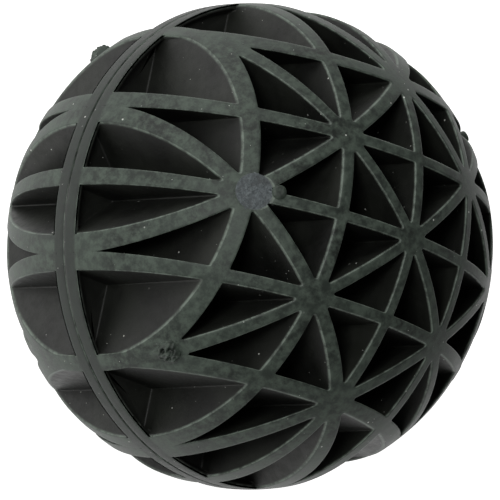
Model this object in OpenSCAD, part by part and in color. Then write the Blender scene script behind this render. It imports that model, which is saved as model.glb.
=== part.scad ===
// Friction ball for opening screwed watch case backs.
// Two identical rubber half mouldings are cemented back to back at the seam.
// Each half is a thin floor and a low rim that carry a grid of upright fins,
// whose tops are cut to one sphere. Z is the axis along which both halves
// were drawn from the mould, and the origin is the centre of the ball.

/* [Ball] */
// Diameter over the fin tops
ball_d = 63.5; // [50:0.5:80]

/* [Fins] */
// Distance between neighbouring fins of one direction, as a share of the ball's radius
pitch_share = 0.48; // [0.46:0.005:0.49]
// Thickness of a fin at the height of the pole
fin_tip = 1.45; // [1:0.05:2]
// Thickness of a fin at the seam
fin_root = 2.4; // [2:0.05:3]

/* [Rim and floor] */
// Height of the rim above the seam plane
rim_h = 2.1; // [1.5:0.1:3]
// Thickness of the rim along its top edge
rim_top_t = 0.65; // [0.4:0.05:1.2]
// Thickness of the rim at the floor
rim_base_t = 1.2; // [0.8:0.05:2]
// Thickness of the floor of one half
floor_t = 0.7; // [0.5:0.05:1.2]

/* [Marks of the mould] */
// Diameter of the round pad on one diagonal hub
pad_d = 4.8; // [4:0.1:6]
// How far the pad's middle lies below the fin tops
pad_sink = 0.12; // [0:0.02:0.4]
// Tilt of the pad, which sinks the edge nearest the pole
pad_tilt = 5; // [0:0.5:8]
// Diameter of the vent nub beside the pad
nub_d = 1.9; // [1:0.1:2.2]
// How far the vent nub stands above the fin tops
nub_proud = 0.4; // [0.1:0.05:0.8]
// Diameter of the torn-off gate on one hub by the rim
gate_d = 3; // [2:0.1:4]
// How far the gate stands above the fin tops
gate_proud = 0.8; // [0.2:0.05:1.2]
// Diameter of the overflow nub on the hub opposite the gate
overflow_d = 1.6; // [1:0.1:3]
// How far the overflow nub stands above the fin tops
overflow_proud = 1; // [0.2:0.05:1.4]

/* [Bonded joint] */
// Thickness of the cement film between the two floors
film_t = 0.2; // [0.1:0.05:0.4]
// Depth of the open groove that the film leaves around the seam
groove_depth = 0.8; // [0.4:0.1:1.5]
// Diameter of the locating peg of each half
peg_d = 2.4; // [1.8:0.1:3]
// Height of the locating peg above the film's middle
peg_h = 2.6; // [1.5:0.1:4]
// Clearance of a peg in its socket, on the diameter and on the depth
peg_gap = 0.3; // [0.2:0.05:0.5]

/* [Hidden] */
$fn = 96;
ball_r = ball_d / 2;
pitch = pitch_share * ball_r;
film_half = film_t / 2;
// Straight fins run at 0 and 90 degrees, diagonal ones at 45 and 135.
straight_steps = [-1, 0, 1];
diagonal_steps = [-2, -1, 0, 1, 2];
diagonal_pitch = pitch / sqrt(2);
signs = [-1, 1];
// Depth to which the pad and nubs are rooted in the fins below them.
root_depth = 4;
// The bevel round the pad runs out by bevel_spread over the height bevel_h.
bevel_spread = 2;
bevel_h = 1;
// Each mark lies in one direction from the middle of the ball, given as the angle
// from the pole and the angle round the axis. The pad sits on a diagonal hub, with
// its nub nearer the pole. The gate and the overflow nub lie over the X axis.
pad_at = [41.4, 134.1];
nub_at = [35.7, 132.3];
gate_at = [66, 180];
overflow_at = [64.8, 0];
rubber = [0.16, 0.17, 0.16];
cement = [0.08, 0.08, 0.08];

// One upright fin through the whole ball, thicker at the seam by the mould's draft.
module fin(angle, offset) {
    rotate([0, 0, angle])
        translate([ball_r, offset, 0])
            rotate([90, 0, -90])
                linear_extrude(height = ball_d)
                    polygon([
                        [-fin_root / 2, 0],
                        [fin_root / 2, 0],
                        [fin_tip / 2, ball_r],
                        [-fin_tip / 2, ball_r]
                    ]);
}

module fins() {
    for (step = straight_steps, angle = [0, 90])
        fin(angle, step * pitch);
    for (step = diagonal_steps, angle = [45, 135])
        fin(angle, step * diagonal_pitch);
}

// The rim and the floor in one turned profile, which the sphere trims outside.
module rim_and_floor() {
    rotate_extrude()
        polygon([
            [0, film_half],
            [ball_r, film_half],
            [ball_r, rim_h],
            [ball_r - rim_top_t, rim_h],
            [ball_r - rim_base_t, floor_t],
            [0, floor_t]
        ]);
}

// Places its children at the ball's surface, with their Z axis pointing outwards.
module on_surface(at) {
    rotate([0, at[0], at[1]])
        translate([0, 0, ball_r])
            children();
}

// A round pin square to the ball's surface.
module surface_pin(at, d, proud) {
    on_surface(at)
        translate([0, 0, -root_depth])
            cylinder(d = d, h = root_depth + proud);
}

// Places its children on the middle of the pad's tilted top.
module on_pad() {
    on_surface(pad_at)
        rotate([0, -pad_tilt, 0])
            translate([0, 0, -pad_sink])
                children();
}

module pad() {
    on_pad()
        translate([0, 0, -root_depth])
            cylinder(d = pad_d, h = root_depth);
}

// Cuts the fins away over the pad, with a bevel where they stand above it.
module space_above_pad() {
    on_pad()
        cylinder(d1 = pad_d, d2 = pad_d + 2 * bevel_spread, h = bevel_h);
}

// Locating peg, which crosses the film into the other half.
module peg() {
    translate([pitch, pitch, -peg_h])
        cylinder(d = peg_d, h = peg_h + floor_t);
}

// Room for the peg of the other half.
module socket() {
    translate([-pitch, -pitch, -film_half])
        cylinder(d = peg_d + peg_gap, h = film_half + peg_h + peg_gap);
}

// Half moulding as it leaves the mould, standing on the seam with its pole up.
module half_moulding() {
    peg();
    difference() {
        union() {
            difference() {
                intersection() {
                    union() {
                        fins();
                        rim_and_floor();
                    }
                    sphere(r = ball_r);
                }
                space_above_pad();
            }
            pad();
            surface_pin(nub_at, nub_d, nub_proud);
            surface_pin(gate_at, gate_d, gate_proud);
            surface_pin(overflow_at, overflow_d, overflow_proud);
        }
        // The seam face lies half a film above the seam plane.
        translate([0, 0, film_half - root_depth])
            cylinder(r = ball_d, h = root_depth);
        socket();
    }
}

module upper_half() {
    color(rubber)
        half_moulding();
}

// The same moulding, turned over about the diagonal that keeps peg facing socket.
module lower_half() {
    color(rubber)
        rotate([0, 0, -90])
            rotate([180, 0, 0])
                half_moulding();
}

// Cement between the two floors, with a hole round each locating peg.
module cement_film() {
    color(cement)
        difference() {
            translate([0, 0, -film_half])
                cylinder(r = ball_r - groove_depth, h = film_t);
            for (s = signs)
                translate([s * pitch, s * pitch, -film_t])
                    cylinder(d = peg_d + peg_gap, h = 2 * film_t);
        }
}

upper_half();
lower_half();
cement_film();
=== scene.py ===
# %% [markdown]
# # Friction ball for opening watch cases
#
# The ball is two identical rubber mouldings, cemented back to back. Each half is a
# grid of upright fins whose tops are cut to one sphere, with a low rim at the seam
# and a thin floor behind it. The frame holds the true sizes and this script gives
# the surfaces that the eye sees: rounded lips on the fins, soft corners in the
# pockets, the marks that the mould left, and black rubber with its grey bloom, with
# a sheen painted onto the tops and painted highlights along the lips.
#
# Blender opens with a cube, a lamp and a camera. They are taken out first.

# %% Load the frame
import math

import bpy
import numpy as np
from mathutils import Matrix, Vector


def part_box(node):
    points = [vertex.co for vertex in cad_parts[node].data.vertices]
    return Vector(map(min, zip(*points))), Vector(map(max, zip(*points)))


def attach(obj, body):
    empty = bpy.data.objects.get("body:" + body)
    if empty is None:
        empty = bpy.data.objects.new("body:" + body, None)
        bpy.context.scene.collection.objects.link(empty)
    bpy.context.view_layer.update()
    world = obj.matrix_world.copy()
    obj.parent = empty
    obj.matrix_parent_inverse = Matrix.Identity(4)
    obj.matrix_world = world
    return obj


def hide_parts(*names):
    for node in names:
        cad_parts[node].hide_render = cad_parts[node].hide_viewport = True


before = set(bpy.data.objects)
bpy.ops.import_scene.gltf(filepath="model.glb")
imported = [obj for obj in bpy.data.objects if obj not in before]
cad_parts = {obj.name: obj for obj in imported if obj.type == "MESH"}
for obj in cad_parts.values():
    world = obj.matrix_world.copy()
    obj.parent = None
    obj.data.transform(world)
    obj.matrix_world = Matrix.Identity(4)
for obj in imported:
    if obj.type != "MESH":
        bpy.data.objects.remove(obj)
for start_up in ("Cube", "Light", "Camera"):
    if start_up in bpy.data.objects:
        bpy.data.objects.remove(bpy.data.objects[start_up])
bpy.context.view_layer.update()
print("frame nodes:", sorted(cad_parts))

# %% [markdown]
# ## Dimensions
#
# The ball's radius comes from the frame. The rest repeats the mould's own sizes, in
# millimetres, because a maker of moulds thinks in them; one factor turns them into
# metres when a mesh is made. A mark's place is its angle from the pole and its angle
# round the axis, in degrees.

# %% Sizes of the moulding
MM = 0.001
BALL_R = round(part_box("upper_half")[1][2] / MM, 3)
PITCH = 0.48 * BALL_R
FIN_TIP, FIN_ROOT = 1.45, 2.4
RIM_H, RIM_TOP, RIM_BASE = 2.1, 0.65, 1.2
FLOOR_T, FILM_HALF = 0.7, 0.1
PAD_AT, PAD_R, PAD_SINK, PAD_TILT = (41.4, 134.1), 2.4, 0.12, 5.0
NUB_AT, NUB_R, NUB_PROUD = (35.7, 132.3), 0.95, 0.4
GATE_AT, GATE_R, GATE_PROUD = (66.0, 180.0), 1.5, 0.8
OVERFLOW_AT, OVERFLOW_R, OVERFLOW_PROUD = (64.8, 0.0), 0.8, 1.0
BEVEL_SPREAD, BEVEL_H = 2.0, 1.0
MARK_ROOT = 4.0
PEG_R, PEG_H, PEG_GAP = 1.2, 2.6, 0.3
print(f"ball {2 * BALL_R:.2f} mm across, fins every {PITCH:.2f} mm")

# %% [markdown]
# Nothing that leaves a mould has a sharp edge, and it is the rounded edges that catch
# the light. These are the radii that a spark-cut mould leaves, and STEP is the spacing
# of mesh points along a fin, which keeps the sphere round to a few thousandths of a
# millimetre.

# %% Radii and mesh spacing
LIP_R = 0.34
RIM_LIP_R = 0.14
POCKET_R = 0.18
FOOT_R = 0.3
SEAM_LIP = 0.22
STEP = 0.72
SEAM_EDGE_Z = FILM_HALF + SEAM_LIP
SEAM_EDGE_R = math.sqrt(BALL_R**2 - SEAM_EDGE_Z**2)
print(f"lips {LIP_R} mm, off round by {STEP**2 / 8 / BALL_R:.4f} mm between points")

# %% [markdown]
# ## Fins that taper, rim that leans
#
# Rubber lets go of a mould because every wall leans a degree or so. A fin is thickest
# at the seam and the rim's inner face leans outwards. Blender could taper a slab by
# hand, but here each wall is one straight line in the height z, so that the skins of
# two neighbouring pockets agree on it exactly.

# %% Draft of the walls
def half_thickness(z):
    """Half of a fin's thickness: a straight line from the seam, z = 0, to the pole."""
    return FIN_ROOT / 2 - (FIN_ROOT - FIN_TIP) / 2 * z / BALL_R


def rim_inner(z):
    """Inner radius of the rim: a straight line from the floor to the rim's top edge."""
    share = (RIM_H - z) / (RIM_H - FLOOR_T)
    return BALL_R - RIM_TOP - (RIM_BASE - RIM_TOP) * share


def place(inward, along, offset, s, z):
    """Points at s along a fin and at offset across it, at the height z."""
    offset = np.broadcast_to(offset, np.shape(s))
    xy = np.outer(offset, inward) + np.outer(s, along)
    return np.column_stack([xy, np.broadcast_to(z, len(xy))])


print(f"a fin is {2 * half_thickness(RIM_H):.2f} mm thick at the rim's height")

# %% [markdown]
# ## One side of a pocket
#
# Sixteen slabs could be joined and then bevelled, but a bevel is hard to keep clean
# where eight fins meet at a hub. The fins also cut the ball into pockets, and the
# middle plane of a fin is shared by the pockets on both sides. So each pocket is
# skinned on its own, from the middle of its fins inwards, and its neighbours meet it
# point for point. Along one fin each column of the skin has five stations: on the
# middle line, at the top edge of the wall, two partway down, and at the foot of the
# wall. On a fin that runs to the rim, the two partway down lie at the rim's height, and
# beside the rim itself the wall's top edge comes down to that height too.

# %% Wall of a fin inside its pocket
def wall_points(side, s, z):
    """The wall at s along the fin and at the height z.

    The wall runs parallel to the fin's middle plane at half the fin's thickness. Near
    a corner of the pocket it turns into an arc of radius POCKET_R, which touches both
    walls, up to the line that halves the corner's angle.
    """
    half = half_thickness(z)
    along = np.array(s, float)
    offset = np.broadcast_to(side["offset"] + half, along.shape)
    for corner, angle, way in side["corners"]:
        away = (s - corner) * way
        reach = (half + POCKET_R) / math.tan(angle / 2)
        turn = np.clip(1 - away / reach, 0, 1) * (math.pi - angle) / 2
        inside = away < reach
        along = np.where(inside, corner + way * (reach - POCKET_R * np.sin(turn)), along)
        rounded = side["offset"] + half + POCKET_R * (1 - np.cos(turn))
        offset = np.where(inside, rounded, offset)
    return place(side["inward"], side["along"], offset, along, z)


def rim_corner(side, s, s_end, z):
    """Where the wall turns into the rim: an arc of radius POCKET_R that touches both."""
    offset = side["offset"] + half_thickness(z) + POCKET_R
    centre = math.sqrt((rim_inner(z) - POCKET_R) ** 2 - offset**2)
    turn = np.clip((s - centre) / (s_end - centre), 0, 1) * math.atan2(centre, -offset)
    across = offset - POCKET_R * np.cos(turn)
    arc = place(side["inward"], side["along"], across, centre + POCKET_R * np.sin(turn), z)
    straight = wall_points(side, s, np.full(len(s), z))
    return np.where((s <= centre)[:, None], straight, arc)


print(f"pocket corners have a radius of {POCKET_R} mm")

# %% [markdown]
# A fin that runs between two hubs has a corner at both ends. A fin that runs out to
# the rim has one corner, and at its far end the wall's top edge comes down the sphere
# until it meets the top of the rim. The wall leans, so how far out its top edge lies
# depends on its height and the other way round. A few rounds of working out one from
# the other settle both.

# %% Columns along one fin
EIGHTH, QUARTER = math.pi / 4, math.pi / 2
SETTLING_ROUNDS = 20
FEWEST_SPANS = 4


def unit(vector):
    """The same direction with a length of one."""
    return np.array(vector, float) / np.linalg.norm(vector)


def fin_side(start, stop, inward, angle_start, angle_stop=None):
    """Columns of five stations from start to stop, evenly spaced along the sphere."""
    start, stop, inward = (np.array(v, float) for v in (start, stop, inward))
    along = unit(stop - start)
    offset = float(start @ inward)
    section_r = math.sqrt(BALL_R**2 - offset**2)
    s_start = float(start @ along)
    to_rim = angle_stop is None
    s_stop = math.sqrt(SEAM_EDGE_R**2 - offset**2) if to_rim else float(stop @ along)
    corners = [(s_start, angle_start, 1)]
    if not to_rim:
        corners.append((s_stop, angle_stop, -1))
    side = {"inward": inward, "along": along, "offset": offset, "corners": corners}
    psi = np.arcsin([s_start / section_r, s_stop / section_r])
    count = max(FEWEST_SPANS, round(section_r * abs(psi[1] - psi[0]) / STEP))
    psi = np.linspace(*psi, count + 1)
    s, z = section_r * np.sin(psi), section_r * np.cos(psi)
    middle = place(inward, along, offset, s, z)
    at_rim = np.zeros(count + 1, bool)
    if to_rim:
        s_end = math.sqrt(BALL_R**2 - RIM_H**2 - (offset + half_thickness(RIM_H)) ** 2)
        last = min(int(np.abs(z - RIM_H).argmin()), count - 1)
        at_rim = np.arange(count + 1) >= last
        stretch = (s_end - s_start) / (s[last] - s_start)
        s = np.where(at_rim, s_end, s_start + (s - s_start) * stretch)
    for _ in range(SETTLING_ROUNDS):
        reach = wall_points(side, s, z)[:, :2]
        z = np.sqrt(np.maximum(BALL_R**2 - (reach**2).sum(1), 0))
    top = wall_points(side, s, np.where(at_rim, RIM_H, z))
    if to_rim:
        level = wall_points(side, s, np.full(len(s), RIM_H))
        turned = rim_corner(side, s, s_end, RIM_H)
        foot = rim_corner(side, s, s_end, FLOOR_T)
    else:
        level = turned = wall_points(side, s, (z + FLOOR_T) / 2)
        foot = wall_points(side, s, np.full(len(s), FLOOR_T))
    return np.stack([middle, top, level, turned, foot], axis=1)


def rim_side(before, after):
    """Columns along the rim, with each station swept round the axis between two fins."""
    azimuth = np.arctan2([before[:, 1], after[:, 1]], [before[:, 0], after[:, 0]])
    count = max(FEWEST_SPANS, round(BALL_R * abs(azimuth[1, 0] - azimuth[0, 0]) / STEP))
    share = np.linspace(0, 1, count + 1)[:, None]
    angle = azimuth[0] + (azimuth[1] - azimuth[0]) * share
    radius = np.hypot(before[:, 0], before[:, 1])
    height = np.broadcast_to(before[:, 2], angle.shape)
    return np.stack([radius * np.cos(angle), radius * np.sin(angle), height], axis=2)


between_hubs = fin_side((0, 0), (PITCH, 0), (0, 1), EIGHTH, EIGHTH)
print("columns and stations between two hubs:", between_hubs.shape[:2])

# %% [markdown]
# ## Skin of one pocket
#
# Rows of points run from the fins' middle lines over the sphere, round the lip, down
# the wall, round its foot and to the middle of the floor. A true arc at each bend would
# need its centre, which differs from column to column. A quadratic Bezier curve looks
# the same at this size, and needs only the corner and the two directions that leave it.

# %% Ease the bends of many columns at once
LIP_STEPS, RIM_STEPS, FOOT_STEPS = 4, 3, 3
CROWN_SHARES = (0.4, 0.8)
MOST_OF_A_SPAN = 0.45
TINY = 1e-6


def soften(before, corner, after, radius, steps):
    """Replaces a corner by a quadratic Bezier curve that starts and ends radius away.

    A point on it is the corner and the two ends, weighted by 2t(1 - t), (1 - t) squared
    and t squared. Where a span is short, the ends stay within its own near half.
    """

    def toward(target):
        way = target - corner
        length = np.maximum(np.linalg.norm(way, axis=1, keepdims=True), TINY)
        return corner + way / length * np.minimum(radius, MOST_OF_A_SPAN * length)

    first, last = toward(before), toward(after)
    share = np.linspace(0, 1, steps + 1)[:, None, None]
    return list((1 - share) ** 2 * first + 2 * share * (1 - share) * corner + share**2 * last)


def on_sphere(points):
    """The same directions from the ball's centre, at the ball's radius."""
    return points * BALL_R / np.linalg.norm(points, axis=1, keepdims=True)


def pocket(sides):
    """Grid of points (columns, rows, 3) for one pocket, from its sides in turn."""
    columns = np.concatenate([side[:-1] for side in sides])
    middle, top, level, turned, foot = columns.transpose(1, 0, 2)
    centre = np.broadcast_to(np.append(foot[:, :2].mean(0), FLOOR_T), foot.shape)
    over_rim = (np.linalg.norm(level - top, axis=1) < TINY)[:, None]
    lip = soften(middle, top, np.where(over_rim, turned, level), LIP_R, LIP_STEPS)
    eased = soften(level, turned, foot, RIM_LIP_R, RIM_STEPS)
    inner = [np.where(over_rim, row, turned) for row in eased]
    lip[0] = on_sphere(lip[0])
    crown = [on_sphere(middle + (lip[0] - middle) * share) for share in CROWN_SHARES]
    base = soften(turned, foot, centre, FOOT_R, FOOT_STEPS)
    return np.stack([middle, *crown, *lip, level, *inner, *base, centre], axis=1)


print("each bend is eased in", LIP_STEPS, "steps at a lip and", FOOT_STEPS, "at a foot")

# %% [markdown]
# ## The pattern of fins
#
# Seen along the pole, the fins are lines of a square grid with both diagonals of each
# square, so a hub where eight fins cross sits on each grid point. Four quarter turns
# and their mirror images leave the pattern as it is, so only the seven pockets of one
# 45 degree sector are worked out, and copies of them give all fifty-six. Corners are in
# units of the pitch.

# %% Pockets of one sector
def left_of(way):
    """A direction in the plane turned a quarter anticlockwise, into the pocket."""
    return (-way[1], way[0])


def between(start, stop, angle_start, angle_stop):
    """A fin from hub to hub, with the pocket on its left."""
    return fin_side(start, stop, left_of(unit(stop - start)), angle_start, angle_stop)


def closed_pocket(corners, angles):
    """A pocket with straight fins all round, its corners anticlockwise."""
    points = np.array(corners, float) * PITCH
    after = [*range(1, len(points)), 0]
    return pocket([between(points[i], points[j], angles[i], angles[j]) for i, j in enumerate(after)])


def rim_pocket(hubs, angles, first_way, last_way):
    """A pocket that is open to the rim: rim, along first_way to hubs, back by last_way."""
    points = np.array(hubs, float) * PITCH
    first_way, last_way = unit(first_way), unit(last_way)
    inward = left_of(-first_way)
    sides = [fin_side(points[0], points[0] + first_way, inward, angles[0])[::-1]]
    for i in range(len(points) - 1):
        sides.append(between(points[i], points[i + 1], angles[i], angles[i + 1]))
    sides.append(fin_side(points[-1], points[-1] + last_way, left_of(last_way), angles[-1]))
    sides.append(rim_side(sides[-1][-1], sides[0][0]))
    return pocket(sides)


sector = [
    closed_pocket([(0, 0), (1, 0), (0.5, 0.5)], [EIGHTH, EIGHTH, QUARTER]),
    closed_pocket([(1, 0), (1, 1), (0.5, 0.5)], [EIGHTH, EIGHTH, QUARTER]),
    closed_pocket([(1, 0), (2, 0), (1.5, 0.5)], [EIGHTH, EIGHTH, QUARTER]),
    closed_pocket([(1, 0), (1.5, 0.5), (1, 1)], [EIGHTH, QUARTER, EIGHTH]),
    rim_pocket([(1, 1), (1.5, 0.5)], [EIGHTH, QUARTER], (1, 0), (1, 1)),
    rim_pocket([(1.5, 0.5), (2, 0)], [QUARTER, 3 * EIGHTH], (1, 1), (1, 0)),
    rim_pocket([(1, 1)], [EIGHTH], (1, 1), (1, 0)),
]
print("columns in each pocket of a sector:", [len(p) for p in sector])

# %% [markdown]
# ## One half as a mesh
#
# A grid of points turns into quads whose corners run anticlockwise seen from outside.
# A mirrored copy would turn its faces inside out, so its quads are reversed. Blender's
# Mirror and Merge by Distance could do this, but on arrays it is a few whole-array
# steps, and the points that neighbours share fall together exactly.

# %% Grids, copies and welding
PER_MM = 1000


def grid_faces(columns, rows):
    """Quads of a grid that closes on itself across the columns."""
    i, j = np.meshgrid(np.arange(columns), np.arange(rows - 1), indexing="ij")
    here, after = i * rows + j, (i + 1) % columns * rows + j
    return np.stack([here, after, after + 1, here + 1], axis=-1).reshape(-1, 4)


def eight_copies(points, faces):
    """The four quarter turns of a grid about Z, and of its mirror image in x = y."""
    for mirrored in (False, True):
        for quarter in range(4):
            c, s = round(math.cos(quarter * QUARTER)), round(math.sin(quarter * QUARTER))
            x, y = points[:, int(mirrored)], points[:, int(not mirrored)]
            moved = np.column_stack([c * x - s * y, s * x + c * y, points[:, 2]])
            yield moved, (faces[:, ::-1] if mirrored else faces)


def weld(points, faces):
    """Merges points that share a place to a thousandth of a millimetre."""
    keys = np.round(points * PER_MM).astype(np.int64)
    _, first, index = np.unique(keys, axis=0, return_index=True, return_inverse=True)
    return points[first], index.reshape(-1)[faces]


# %% [markdown]
# The eight copies of each pocket are gathered first and welded once at the end, which
# is far quicker than joining Blender objects one after another.

# %% Skin of a whole half, open at the seam
points, faces, total = [], [], 0
for grid in sector:
    for moved, quads in eight_copies(grid.reshape(-1, 3), grid_faces(*grid.shape[:2])):
        points.append(moved)
        faces.append(quads + total)
        total += len(moved)
skin_points, skin_faces = weld(np.concatenate(points), np.concatenate(faces))
print("skin of a half:", len(skin_points), "points,", len(skin_faces), "quads")

# %% [markdown]
# ## Seam edge
#
# The two halves were ground flat and cemented, and the joint was left as it came: an
# open groove along some stretches, cement up to the surface along others, and a few
# pits where the edge broke away. An even bevel would look machined. So the edge of each
# half is a quarter ellipse that leaves the sphere just above the seam face, and its
# depth changes round the ball.

# %% Depth of the rounded edge at each azimuth
OPEN_AT, OPEN_STRETCHES = math.radians(108), 4
SHUT_DEPTH, OPEN_DEPTH = 0.03, 0.45
SEAM_STEPS, FLAT_R = 4, 27.0
NEAR = 1e-3


def openness(azimuth):
    """How open the joint is, from 0 to 1: four open stretches, no two alike."""
    wave = 0.5 + 0.5 * np.cos(OPEN_STRETCHES * (azimuth - OPEN_AT))
    return wave**2 * (0.8 + 0.2 * np.cos(azimuth - 2.0) * np.sin(7 * azimuth))


def seam_depth(azimuth, pits):
    """Depth of the edge in millimetres: a slow open-and-shut wave, and bell-shaped pits.

    Each pit is (azimuth in degrees, length in mm, depth in mm).
    """
    depth = SHUT_DEPTH + OPEN_DEPTH * openness(azimuth)
    for centre, length, deep in pits:
        away = (azimuth - math.radians(centre) + math.pi) % (2 * math.pi) - math.pi
        depth = depth + deep * np.exp(-((away * BALL_R / (length / 2)) ** 2))
    return depth


def close_seam(points, faces, pits):
    """Adds the rounded edge and the flat seam face below an open skin.

    Each column of the edge is a quarter ellipse, depth across and SEAM_LIP high, which
    goes on to a ring on the flat face, and a fan of triangles fills that ring.
    """
    radius = np.hypot(points[:, 0], points[:, 1])
    at_edge = (np.abs(points[:, 2] - SEAM_EDGE_Z) < NEAR) & (radius > SEAM_EDGE_R - NEAR)
    border = np.flatnonzero(at_edge)
    azimuth = np.arctan2(points[border, 1], points[border, 0])
    order = azimuth.argsort()
    border, azimuth = border[order], azimuth[order]
    depth = seam_depth(azimuth, pits)[:, None]
    turn = np.linspace(0, QUARTER, SEAM_STEPS + 1)[1:]
    flat = np.full((len(border), 1), FLAT_R)
    ring_r = np.hstack([SEAM_EDGE_R - depth * (1 - np.cos(turn)), flat])
    ring_z = np.append(SEAM_EDGE_Z - SEAM_LIP * np.sin(turn), FILM_HALF)
    grid = np.stack(
        [
            ring_r * np.cos(azimuth)[:, None],
            ring_r * np.sin(azimuth)[:, None],
            np.broadcast_to(ring_z, ring_r.shape),
        ],
        axis=2,
    ).reshape(-1, 3)
    count, rows = ring_r.shape
    inner = np.arange(count * rows).reshape(count, rows) + len(points)
    index = np.hstack([border[:, None], inner])
    after = np.roll(index, -1, axis=0)
    quads = np.stack([index[:, :-1], index[:, 1:], after[:, 1:], after[:, :-1]], axis=-1)
    middle = len(points) + len(grid)
    fan = np.stack([index[:, -1], np.full(count, middle), after[:, -1]], axis=-1)
    points = np.vstack([points, grid, [[0, 0, FILM_HALF]]])
    return points, [*faces.tolist(), *quads.reshape(-1, 4).tolist(), *fan.tolist()]


print(f"the seam's edge is {SHUT_DEPTH} to {SHUT_DEPTH + OPEN_DEPTH} mm deep")

# %% [markdown]
# ## Meshes
#
# Points are in millimetres until here. Where three walls meet, a grid's quad can have
# two corners in one place, so repeated corners are dropped, and a face that is left
# with fewer than three is dropped too.

# %% From arrays to Blender objects
def without_repeats(face):
    """A face's corners in order, each once."""
    return list(dict.fromkeys(face))


def make_object(name, points, faces):
    """A mesh object in metres from points in millimetres."""
    faces = [short for short in map(without_repeats, faces) if len(short) > 2]
    mesh = bpy.data.meshes.new(name)
    mesh.from_pydata((np.asarray(points) * MM).tolist(), [], faces)
    mesh.validate()
    obj = bpy.data.objects.new(name, mesh)
    bpy.context.collection.objects.link(obj)
    return obj


def revolve(profile, centre, segments=40):
    """Closed solid of revolution, in millimetres, about a vertical line at centre.

    The profile is a list of (radius, height) from the bottom of the axis to its top,
    and each of its points goes round on a circle.
    """
    profile = np.array(profile, float)
    angle = np.linspace(0, 2 * math.pi, segments, endpoint=False)[:, None]
    x = centre[0] + profile[:, 0] * np.cos(angle)
    y = centre[1] + profile[:, 0] * np.sin(angle)
    z = np.broadcast_to(profile[:, 1], x.shape)
    points = np.stack([x, y, z], axis=2).reshape(-1, 3)
    return weld(points, grid_faces(segments, len(profile)))


print("a corner that comes twice is dropped:", without_repeats([3, 7, 7, 4]))

# %% [markdown]
# ## Marks that the mould leaves
#
# One diagonal hub of each half carries a round pad, where an insert of the mould met
# the rubber. It is a little tilted, so the edge nearest the pole is sunk and has a
# bevel, and a vent beside it left a nub. The hubs over the X axis carry the gate, where
# the rubber was let in, and a nub where it overflowed. Apart from the pad's small tilt
# they all stand square to the ball's surface, so each is easiest to build as a pin about
# its own upright axis, and is then turned into place.

# %% Turn a pin into its place on the ball
def outwards_frame(at, tilt=0.0):
    """Rotation whose third column points outwards at a place on the ball, as an array.

    It is a turn about Y by the angle from the pole and then about Z by the angle round
    the axis; tilt turns the pin's own top towards the pole first.
    """
    polar, round_axis = math.radians(at[0]), math.radians(at[1])
    turn = Matrix.Rotation(round_axis, 3, "Z") @ Matrix.Rotation(polar, 3, "Y")
    return np.array(turn @ Matrix.Rotation(-math.radians(tilt), 3, "Y"))


def set_on_surface(solid, at, sink=0.0, tilt=0.0):
    """Moves a solid whose axis is Z and whose top is z = 0 to its place on the ball."""
    points, faces = solid
    centre = outwards_frame(at)[:, 2] * BALL_R
    return (points - [0, 0, sink]) @ outwards_frame(at, tilt).T + centre, faces


print("the pad looks towards", outwards_frame(PAD_AT)[:, 2].round(3))

# %% [markdown]
# A cylinder with a Bevel modifier would give a clean pin. These are worn, torn or
# ragged, so a pin is a grid in polar coordinates instead, whose height is free.

# %% One pin about its own axis
PIN_EDGE_POINTS = 6


def pin(radius, top, edge, relief=None, rings=10, segments=48, ragged=0.0):
    """Closed pin about Z: a foot MARK_ROOT down, an arc edge wide, and a top at z = top.

    relief(x, y, share) adds a height to the top, where share is 1 at the side. A
    ragged pin's outline swells and shrinks by that share with three and five lobes.
    """
    turn = np.linspace(0, QUARTER, PIN_EDGE_POINTS)
    inner = np.linspace(1 - edge / radius, 0, rings)[1:]
    share = np.concatenate([1 - edge / radius * (1 - np.cos(turn)), inner])
    drop = np.concatenate([edge * (1 - np.sin(turn)), 0 * inner])
    angle = np.linspace(0, 2 * math.pi, segments, endpoint=False)[:, None]
    outline = radius * (1 + ragged * (np.sin(3 * angle + 1) + 0.7 * np.sin(5 * angle)))
    x, y = outline * share * np.cos(angle), outline * share * np.sin(angle)
    z = np.broadcast_to(top - drop, x.shape)
    if relief is not None:
        z = z + relief(x, y, share)
    zero, foot = 0 * x[:, :1], np.full((segments, 2), -MARK_ROOT)
    x, y = np.hstack([zero, x[:, :1], x]), np.hstack([zero, y[:, :1], y])
    points = np.stack([x, y, np.hstack([foot, z])], axis=2).reshape(-1, 3)
    return weld(points, grid_faces(segments, x.shape[1]))


print("a plain pin has", len(pin(NUB_R, NUB_PROUD, NUB_R / 2)[0]), "points")

# %% [markdown]
# The pad's top is lightly pitted. At the gate the sprue was torn off by hand, and torn
# rubber leaves low ridges with pits between them. A displacement texture would do, but
# a few plane waves of different directions, multiplied together, give the same broken
# surface as real geometry. They fade out at the pin's edge.

# %% Pad, nubs and torn gate
PAD_EDGE, NUB_EDGE, GATE_EDGE, OVERFLOW_EDGE = 0.1, 0.45, 0.3, 0.35
GATE_RAGGED = 0.09


def pitted(x, y, share):
    """Shallow pits and bumps of a worn insert, in millimetres."""
    waves = np.sin(2.9 * x + 1.3 * y) * np.sin(3.7 * y - 1.1 * x + 0.7)
    return 0.05 * (waves + 0.7 * np.sin(6.1 * x) * np.sin(5.3 * y + 0.5)) * (1 - share**4)


def torn(x, y, share):
    """Ridges and pits of torn rubber, in millimetres, lower towards one side."""
    waves = np.sin(3.1 * x + 1.7 * y + 0.4) * np.sin(4.3 * y - 1.9 * x + 1.1)
    waves = waves + 0.6 * np.sin(6.7 * x - 3.3 * y) * np.cos(5.1 * y + 2.2)
    return (0.34 * waves - 0.1 + 0.12 * y) * (1 - share**8) - 0.45 * share**3


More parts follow.
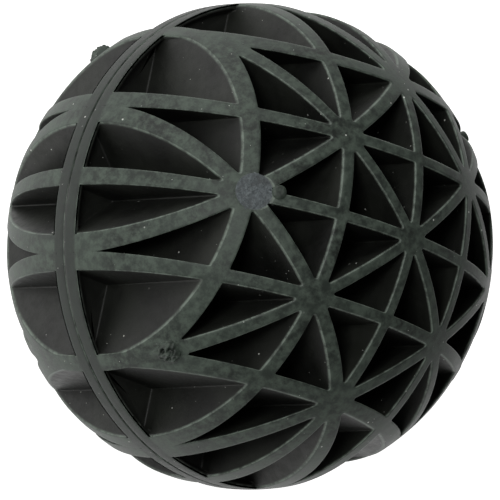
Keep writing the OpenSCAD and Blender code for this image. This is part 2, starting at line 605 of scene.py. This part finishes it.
pad_pin = pin(PAD_R, 0.0, PAD_EDGE, pitted, rings=16, segments=72)
pad = set_on_surface(pad_pin, PAD_AT, PAD_SINK, PAD_TILT)
cone_profile = [(0, 0), (PAD_R, 0), (PAD_R + BEVEL_SPREAD, BEVEL_H), (0, BEVEL_H)]
clearance = set_on_surface(revolve(cone_profile, (0, 0), 72), PAD_AT, PAD_SINK, PAD_TILT)
nub = set_on_surface(pin(NUB_R, NUB_PROUD, NUB_EDGE), NUB_AT)
gate_pin = pin(GATE_R, GATE_PROUD, GATE_EDGE, torn, rings=14, segments=56, ragged=GATE_RAGGED)
gate = set_on_surface(gate_pin, GATE_AT)
overflow = set_on_surface(pin(OVERFLOW_R, OVERFLOW_PROUD, OVERFLOW_EDGE), OVERFLOW_AT)
print("pad", len(pad[0]), "nub", len(nub[0]), "gate", len(gate[0]), "points")

# %% [markdown]
# A peg stands on one side of the seam face and a socket lies opposite, so that two
# halves from the same mould find each other. Neither shows once the ball is cemented,
# so plain turned shapes will do, with a small chamfer to lead the peg in.

# %% Peg and socket
PEG_CHAMFER, PEG_ROOT, PAST_FACE = 0.1, 2.0, 1.0
peg_profile = [
    (0, -PEG_H),
    (PEG_R - PEG_CHAMFER, -PEG_H),
    (PEG_R, PEG_CHAMFER - PEG_H),
    (PEG_R, PEG_ROOT),
    (0, PEG_ROOT),
]
peg = revolve(peg_profile, (PITCH, PITCH))


def hole(top, x, y):
    """Space for a peg, from PAST_FACE below the seam plane up to the height top."""
    radius = PEG_R + PEG_GAP / 2
    return revolve([(0, -PAST_FACE), (radius, -PAST_FACE), (radius, top), (0, top)], (x, y))


socket = hole(PEG_H + PEG_GAP, -PITCH, -PITCH)
print("peg", 2 * PEG_R, "mm across, with", PEG_GAP, "mm of room in its socket")

# %% [markdown]
# ## Putting a half together
#
# The fins are cut away over the pad, the marks are joined on, and last the socket is
# sunk. Blender has three Boolean solvers. The manifold one is the quickest, and what it
# makes of closed meshes is closed again. Weighted normals then keep the wide walls flat
# to the eye and put all the turning of light into the small rounded edges.

# %% Joins and cuts
def combine(obj, points, faces, operation):
    """Joins or cuts obj with a solid, and applies the result to obj's own mesh."""
    tool = make_object("tool", points, faces)
    modifier = obj.modifiers.new("combine", "BOOLEAN")
    modifier.operation = operation
    modifier.solver = "MANIFOLD"
    modifier.object = tool
    apply_modifiers(obj)
    bpy.data.objects.remove(tool)


def apply_modifiers(obj):
    """Replaces obj's mesh by what its modifiers make of it."""
    depsgraph = bpy.context.evaluated_depsgraph_get()
    mesh = bpy.data.meshes.new_from_object(obj.evaluated_get(depsgraph))
    mesh.name = obj.name
    obj.modifiers.clear()
    obj.data = mesh


def open_edges(mesh):
    """How many edges don't have exactly two faces."""
    edges = np.zeros(len(mesh.loops), np.int32)
    mesh.loops.foreach_get("edge_index", edges)
    return int((np.bincount(edges, minlength=len(mesh.edges)) != 2).sum())


test_peg = make_object("test_peg", *peg)
print("open edges of a peg:", open_edges(test_peg.data))
bpy.data.objects.remove(test_peg)

# %% [markdown]
# Both halves come from one mould, but each edge broke away in its own places. A pit is
# its azimuth in degrees, its length and its depth in millimetres.

# %% The two halves
def make_half(name, pits):
    """One half moulding with its marks, peg and socket, standing on the seam plane."""
    half = make_object(name, *close_seam(skin_points, skin_faces, pits))
    combine(half, *clearance, "DIFFERENCE")
    for part in (pad, nub, overflow, gate, peg):
        combine(half, *part, "UNION")
    combine(half, *socket, "DIFFERENCE")
    half.data.shade_smooth()
    half.modifiers.new("weighted", "WEIGHTED_NORMAL").keep_sharp = True
    apply_modifiers(half)
    return half


upper_pits = [
    (118, 1.6, 0.4),
    (131, 2.2, 0.3),
    (139, 1.4, 0.45),
    (218, 2.4, 0.35),
    (229, 1.5, 0.4),
]
lower_pits = [(-40, 2.0, 0.3), (-121, 1.6, 0.4), (-134, 2.4, 0.3), (60, 1.8, 0.35)]
upper = make_half("upper_half_rubber", upper_pits)
lower = make_half("lower_half_rubber", lower_pits)
for half in (upper, lower):
    print(half.name, len(half.data.polygons), "faces,", open_edges(half.data), "open edges")

# %% [markdown]
# ## Turning the second half over
#
# The lower half is the same moulding turned over about the diagonal x = -y, which
# brings each peg to the other half's socket. Swapping x and y and changing the sign of
# all three is a half turn and no mirroring, so the faces still look outwards. It is
# applied to the mesh, and the object itself stays at the origin.

# %% Place the halves and let them stand for the CAD nodes
TURN_OVER = Matrix(((0, -1, 0, 0), (-1, 0, 0, 0), (0, 0, -1, 0), (0, 0, 0, 1)))
lower.data.transform(TURN_OVER)
for half, cad_node in ((upper, "upper_half"), (lower, "lower_half")):
    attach(half, "root")
    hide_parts(cad_node)

# %% [markdown]
# ## Cement film
#
# The film between the floors shows only in the groove round the seam. Where the joint
# was filled the cement came up almost flush, and elsewhere it stayed back. A plain disc
# would show one even line, so the film's edge swings between the groove's full depth
# and the surface as a smooth function of the azimuth, the same one that opens the seam.

# %% Film with a wandering edge
FILM_EDGES, GROOVE_DEPTH, SHORT_OF_FLUSH = 360, 0.8, 0.12
FULLEST, FILL_FALL = 1.1, 2.5
azimuth = np.linspace(0, 2 * math.pi, FILM_EDGES, endpoint=False)
filled = np.clip(FULLEST - FILL_FALL * openness(azimuth), 0, 1)
edge_r = BALL_R - GROOVE_DEPTH + (GROOVE_DEPTH - SHORT_OF_FLUSH) * filled
edge_x, edge_y = edge_r * np.cos(azimuth), edge_r * np.sin(azimuth)
film_profile = [(0, -FILM_HALF), (1, -FILM_HALF), (1, FILM_HALF), (0, FILM_HALF)]
rings = [np.column_stack([n * edge_x, n * edge_y, np.full(FILM_EDGES, z)]) for n, z in film_profile]
film_points = np.stack(rings, axis=1).reshape(-1, 3)
film = make_object("cement_film_edge", *weld(film_points, grid_faces(FILM_EDGES, len(rings))))
for sign in (-1, 1):
    combine(film, *hole(PAST_FACE, sign * PITCH, sign * PITCH), "DIFFERENCE")
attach(film, "root")
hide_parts("cement_film")
print("film:", len(film.data.polygons), "faces,", open_edges(film.data), "open edges")

# %% [markdown]
# ## Node helpers
#
# Colours are written as sRGB hex codes, the way a colour picker shows them, and turned
# into linear light by one function. One more function adds a node, sets it and wires
# it, so that a material reads as a list of steps.

# %% Colours and nodes
def linear(code):
    """Linear RGBA of an sRGB hex code: the sRGB curve is a line below 0.04045."""
    channels = np.array([int(code[i : i + 2], 16) for i in (1, 3, 5)]) / 255
    low, high = channels / 12.92, ((channels + 0.055) / 1.055) ** 2.4
    return (*np.where(channels <= 0.04045, low, high).tolist(), 1.0)


print("middle grey is", round(linear("#808080")[0], 3), "in linear light")


def add(tree, kind, inputs=None, **settings):
    """Adds a node, sets its properties, then sets or links each of its inputs."""
    new = tree.nodes.new(kind)
    for name, value in settings.items():
        setattr(new, name, value)
    for key, value in (inputs or {}).items():
        if isinstance(value, bpy.types.NodeSocket):
            tree.links.new(value, new.inputs[key])
        else:
            new.inputs[key].default_value = value
    return new


def math_node(tree, operation, *values):
    """Result of one arithmetic step on numbers or sockets."""
    inputs = dict(enumerate(values))
    return add(tree, "ShaderNodeMath", inputs, operation=operation).outputs[0]


def ramp(tree, value, low, high):
    """Zero at low, one at high, and a smooth step between them."""
    inputs = {"Value": value, "From Min": low, "From Max": high}
    return add(tree, "ShaderNodeMapRange", inputs, interpolation_type="SMOOTHSTEP").outputs[0]


def mix(tree, share, first, second, blend="MIX"):
    """Colour that goes from first to second as share goes from 0 to 1."""
    inputs = {0: share, 6: first, 7: second}
    node = add(tree, "ShaderNodeMix", inputs, data_type="RGBA", blend_type=blend)
    return node.outputs[2]


def noise(tree, place, size_mm, detail=3.0, roughness=0.5):
    """Noise whose features are size_mm across."""
    scale = 1 / (size_mm * MM)
    inputs = {"Vector": place, "Scale": scale, "Detail": detail, "Roughness": roughness}
    return add(tree, "ShaderNodeTexNoise", inputs).outputs[0]


def new_material(name):
    """An empty node material, its output node and the Object coordinates."""
    material = bpy.data.materials.new(name)
    material.use_nodes = True
    tree = material.node_tree
    tree.nodes.clear()
    output = tree.nodes.new("ShaderNodeOutputMaterial")
    place = tree.nodes.new("ShaderNodeTexCoord").outputs["Object"]
    return material, tree, output, place


def finish(name, tree, output, inputs):
    """Wires a Principled shader with these inputs to the output, and says how it went."""
    shader = add(tree, "ShaderNodeBsdfPrincipled", inputs)
    tree.links.new(shader.outputs[0], output.inputs["Surface"])
    print(name, "has", len(tree.nodes), "nodes")


# %% [markdown]
# ## Black rubber with a grey bloom and a painted sheen
#
# The mouldings are rubber filled with soot, a dark black with a dull, slightly waxy
# surface, moulded in a spark-cut mould that left it matt. The fins' tops are grey-green,
# partly from the bloom and talc that handling left and partly from a painted sheen,
# while the pockets' walls and floors stay dark. Painting the tops face by face would
# leave hard edges. The tops are the only surface on the sphere itself, so the distance
# from the ball's centre tells them from the walls, and a band just below the sphere
# picks out the rounded lips, whose lighter grey is partly rubbing and partly a painted
# highlight. Each band is a depth below the sphere, in millimetres.

# %% Where the tops, the lips and the rim are
TOP_BAND = (0.09, 0.03)
LIP_OUTER, LIP_INNER = (0.03, 0.07), (0.42, 0.10)
RIM_BAND = (2.3, 1.7)


def band(tree, value, limits):
    """A smooth step over a band whose two limits are given in millimetres."""
    return ramp(tree, value, limits[0] * MM, limits[1] * MM)


def rubber_masks(tree, place):
    """How much a point belongs to the tops, to the lips and to the rim, from 0 to 1.

    The depth is the ball's radius less the distance from its centre. The rim is told
    by its height above or below the seam.
    """
    distance = add(tree, "ShaderNodeVectorMath", {0: place}, operation="LENGTH").outputs["Value"]
    depth = math_node(tree, "SUBTRACT", BALL_R * MM, distance)
    lip = math_node(tree, "MULTIPLY", band(tree, depth, LIP_OUTER), band(tree, depth, LIP_INNER))
    height = add(tree, "ShaderNodeSeparateXYZ", {0: place}).outputs["Z"]
    rim = band(tree, math_node(tree, "ABSOLUTE", height), RIM_BAND)
    return band(tree, depth, TOP_BAND), lip, rim


print("tops end", TOP_BAND[0], "mm down and lips", LIP_INNER[0], "mm down")

# %% [markdown]
# Rubber picks up lint. Scattered specks could be a few thousand tiny meshes, but two
# Voronoi patterns do it: a speck is drawn round the middle of some cells, and each
# cell's own random colour says whether it has one, and how bright.

# %% Lint
LINT = ((2.6, 0.16), (1.2, 0.07))
LINT_EDGE = 0.6


def lint_mask(tree, place):
    """Round specks of two sizes. LINT holds (spacing, radius) of each, in millimetres."""
    lint = 0.0
    for spacing, size in LINT:
        inputs = {"Vector": place, "Scale": 1 / (spacing * MM)}
        cells = add(tree, "ShaderNodeTexVoronoi", inputs)
        pick = add(tree, "ShaderNodeSeparateColor", {0: cells.outputs["Color"]}).outputs[0]
        share = size / spacing
        dot = ramp(tree, cells.outputs["Distance"], share, LINT_EDGE * share)
        kept = math_node(tree, "MULTIPLY", dot, ramp(tree, pick, 0.3, 0.8))
        lint = math_node(tree, "MAXIMUM", lint, kept)
    return lint


print("lint specks are", [2 * size for _, size in LINT], "mm across")

# %% [markdown]
# The bloom itself is uneven at two scales: clouds of 7 mm, where a hand rubbed it, and
# patches of 1.3 mm, where it settled. A spark-cut mould's grain is nearer 0.05 mm, too
# fine to show, so it is drawn at 0.22 mm. Rubber has an index of refraction of about
# 1.52, and its dull skin takes half the shine away, hence the low specular level.

# %% Rubber of the mouldings
CLOUD_MM, PATCH_MM, GRAIN_MM = 7.0, 1.3, 0.22
RIM_SHARE, WEAR_AND_HIGHLIGHT_SHARE, LINT_SHARE = 0.75, 0.8, 0.8
RUBBER_IOR, RUBBER_SHINE = 1.52, 0.25


def rubber_material():
    """Walls, tops, lips and rim in one material, told apart by where they are."""
    material, tree, output, place = new_material("rubber_black_bloom_and_painted_sheen")
    top, lip, rim = rubber_masks(tree, place)
    cloud = ramp(tree, noise(tree, place, CLOUD_MM, 4.0), 0.3, 0.7)
    patch = ramp(tree, noise(tree, place, PATCH_MM, 6.0, 0.7), 0.35, 0.68)
    grain = noise(tree, place, GRAIN_MM, 3.0, 0.6)

    wall = mix(tree, cloud, linear("#0a0b09"), linear("#181a16"))
    # The tops' grey-green is partly bloom and talc and partly a painted sheen.
    green = mix(tree, cloud, linear("#0e130f"), linear("#222a24"))
    bloom_and_sheen = mix(tree, patch, green, linear("#3a433b"))
    rim_share = math_node(tree, "MULTIPLY", rim, RIM_SHARE)
    bloom_and_sheen = mix(tree, rim_share, bloom_and_sheen, linear("#141815"))
    colour = mix(tree, top, wall, bloom_and_sheen)
    # The lips' lighter grey is partly wear and partly a painted highlight on the rounded edges.
    wear_and_highlight = math_node(tree, "MULTIPLY", lip, ramp(tree, patch, -0.5, 1.0))
    wear_and_highlight = math_node(tree, "MULTIPLY", wear_and_highlight, WEAR_AND_HIGHLIGHT_SHARE)
    colour = mix(tree, wear_and_highlight, colour, linear("#626c63"))
    lint = math_node(tree, "MULTIPLY", lint_mask(tree, place), LINT_SHARE)
    colour = mix(tree, lint, colour, linear("#b4b6b0"))

    relief = math_node(tree, "MULTIPLY_ADD", patch, 0.6, grain)
    bump = {"Strength": 0.5, "Distance": 0.03 * MM, "Height": relief}
    inputs = {
        "Base Color": colour,
        "Roughness": math_node(tree, "MULTIPLY_ADD", patch, 0.12, 0.5),
        "IOR": RUBBER_IOR,
        "Specular IOR Level": RUBBER_SHINE,
        "Normal": add(tree, "ShaderNodeBump", bump).outputs[0],
    }
    finish(material.name, tree, output, inputs)
    return material


rubber = rubber_material()

# %% [markdown]
# The insert that made the pad was never polished as the rest of the mould was, and the
# pad came out rougher and bluer, with a fine speckle. It is the same rubber, so only
# the colour, the roughness and the bump differ.

# %% Rough top of the pad
def mark_material():
    """Speckled grey on the pad's top: two scales of noise and a coarser bump."""
    material, tree, output, place = new_material("rubber_black_eroded_mark")
    speckle = ramp(tree, noise(tree, place, 0.45, 4.0, 0.7), 0.35, 0.65)
    cloud = noise(tree, place, 1.8, 2.0)
    colour = mix(tree, speckle, linear("#30373a"), linear("#555d60"))
    colour = mix(tree, cloud, colour, linear("#4e5550"), "OVERLAY")
    bump = {"Strength": 0.8, "Distance": 0.06 * MM, "Height": speckle}
    inputs = {
        "Base Color": colour,
        "Roughness": 0.62,
        "IOR": RUBBER_IOR,
        "Normal": add(tree, "ShaderNodeBump", bump).outputs[0],
    }
    finish(material.name, tree, output, inputs)
    return material


mark = mark_material()

# %% [markdown]
# Rubber cement dries to a black skin that is a little glossier than the moulded rubber
# beside it, and it is lumpy, because it was squeezed out and not moulded. Lumps of half
# a millimetre show in the groove as small changes of light.

# %% Cement in the seam
def cement_material():
    """Dried rubber cement: near black, a little glossier than the rubber, lumpy."""
    material, tree, output, place = new_material("cement_black_dried")
    lumps = noise(tree, place, 0.5, 3.0)
    bump = {"Strength": 0.5, "Distance": 0.05 * MM, "Height": lumps}
    inputs = {
        "Base Color": mix(tree, lumps, linear("#121211"), linear("#2a2a28")),
        "Roughness": 0.42,
        "IOR": 1.5,
        "Normal": add(tree, "ShaderNodeBump", bump).outputs[0],
    }
    finish(material.name, tree, output, inputs)
    return material


cement = cement_material()

# %% [markdown]
# Each half carries both finishes. Blender keeps one finish number for each face, and
# they are set here as one array, because picking the pad's faces by hand would have to
# be done again after every change. A face belongs to the pad if it looks outwards and
# its middle lies within the pad's radius of the line from the ball's middle through it.

# %% Give each face its finish
LOOKS_OUT = 0.6
PAD_DEPTH = 1.0


def face_values(mesh, name):
    """The centres or the normals of all faces as an array (faces, 3)."""
    values = np.zeros(3 * len(mesh.polygons))
    mesh.polygons.foreach_get(name, values)
    return values.reshape(-1, 3)


def on_pad(mesh):
    """True where a face lies on top of the pad, whichever half the mesh is."""
    centres, normals = face_values(mesh, "center") / MM, face_values(mesh, "normal")
    outwards = (centres * normals).sum(1) / np.linalg.norm(centres, axis=1) > LOOKS_OUT
    if centres[:, 2].mean() < 0:
        centres = -centres[:, [1, 0, 2]]
    axis = outwards_frame(PAD_AT)[:, 2]
    along = centres @ axis
    across = np.linalg.norm(centres - along[:, None] * axis, axis=1)
    return outwards & (across < PAD_R) & (along > BALL_R - PAD_DEPTH)


for half in (upper, lower):
    mesh = half.data
    mesh.materials.clear()
    for material in (rubber, mark):
        mesh.materials.append(material)
    marked = on_pad(mesh)
    mesh.polygons.foreach_set("material_index", marked.astype(np.int32))
    mesh.update()
    print(half.name, int(marked.sum()), "faces on the pad")
film.data.materials.clear()
film.data.materials.append(cement)

# %% [markdown]
# ## Floor, light and camera
#
# The ball lies on a plain white sheet. A sheet this bright needs no shading of its
# own, so it is a matt white that also glows a little, as paper on a light box does.

# %% Floor
def floor_material():
    """White paper on a light box: matt, and a little light of its own."""
    material, tree, output, _ = new_material("paper_white")
    inputs = {
        "Base Color": linear("#f6f6f4"),
        "Roughness": 0.9,
        "Emission Color": linear("#ffffff"),
        "Emission Strength": 0.9,
    }
    finish(material.name, tree, output, inputs)
    return material


FLOOR_SIZE = 4000.0
corners = [(-1, -1), (1, -1), (1, 1), (-1, 1)]
floor_points = [(x * FLOOR_SIZE / 2, y * FLOOR_SIZE / 2, -BALL_R) for x, y in corners]
floor = make_object("floor", floor_points, [[0, 1, 2, 3]])
floor.data.materials.append(floor_material())

# %% [markdown]
# The camera stands 1.26 m away behind a long lens, which keeps the ball round, and is
# rolled so that the pole points to the right. A constraint could aim it, but its three
# axes are only a few lines: back is given by azimuth and elevation, level is the
# horizontal at a right angle to it, and the roll turns right and up about back.

# %% Camera
AZIMUTH, ELEVATION, ROLL = map(math.radians, (-116.412, 48.604, 87.282))
DISTANCE = 1.2615
LENS, SENSOR = 696.1, 36.0
SHIFT_X, SHIFT_Y = 0.0005, -0.0073
back = Vector(
    (
        math.sin(AZIMUTH) * math.cos(ELEVATION),
        -math.cos(AZIMUTH) * math.cos(ELEVATION),
        math.sin(ELEVATION),
    )
)
level = Vector((math.cos(AZIMUTH), math.sin(AZIMUTH), 0))
right = level * math.cos(ROLL) + back.cross(level) * math.sin(ROLL)
up = back.cross(right)
camera = bpy.data.objects.new("camera", bpy.data.cameras.new("camera"))
bpy.context.collection.objects.link(camera)
axes = Matrix((right, up, back)).transposed().to_4x4()
camera.matrix_world = Matrix.Translation(back * DISTANCE) @ axes
camera.data.lens = LENS
camera.data.sensor_width = SENSOR
camera.data.shift_x = SHIFT_X
camera.data.shift_y = SHIFT_Y
camera.data.clip_end = 20
scene = bpy.context.scene
scene.camera = camera
print("camera looks along", [round(-v, 3) for v in back])

# %% [markdown]
# Black rubber in a bright room is lit from all round, and a spot would leave the
# pockets empty. One soft light stands close beside the camera on the seam's side, a
# larger and weaker one above, and a pale sky fills the rest. Each lamp is placed by how
# far right, up and back it is, as the camera sees it.

# %% Lights
LAMP_DISTANCE = 0.9
SKY_STRENGTH = 0.32


def soft_light(name, direction, size, power):
    """A square area light that faces the ball, placed along right, up and back."""
    way = (right * direction[0] + up * direction[1] + back * direction[2]).normalized()
    light = bpy.data.lights.new(name, "AREA")
    light.shape = "SQUARE"
    light.size = size
    light.energy = power
    obj = bpy.data.objects.new(name, light)
    bpy.context.collection.objects.link(obj)
    obj.location = way * LAMP_DISTANCE
    obj.rotation_euler = way.to_track_quat("Z", "Y").to_euler()
    print(name, "light:", power, "W,", size, "m across")


soft_light("key", (-0.22, 0.20, 0.95), 0.30, 4.5)
soft_light("fill", (-0.2, 0.9, 0.45), 0.6, 3.5)
world = bpy.data.worlds.new("studio")
scene.world = world
world.use_nodes = True
sky = world.node_tree.nodes["Background"]
sky.inputs["Color"].default_value = linear("#ffffff")
sky.inputs["Strength"].default_value = SKY_STRENGTH
scene.view_settings.view_transform = "Standard"
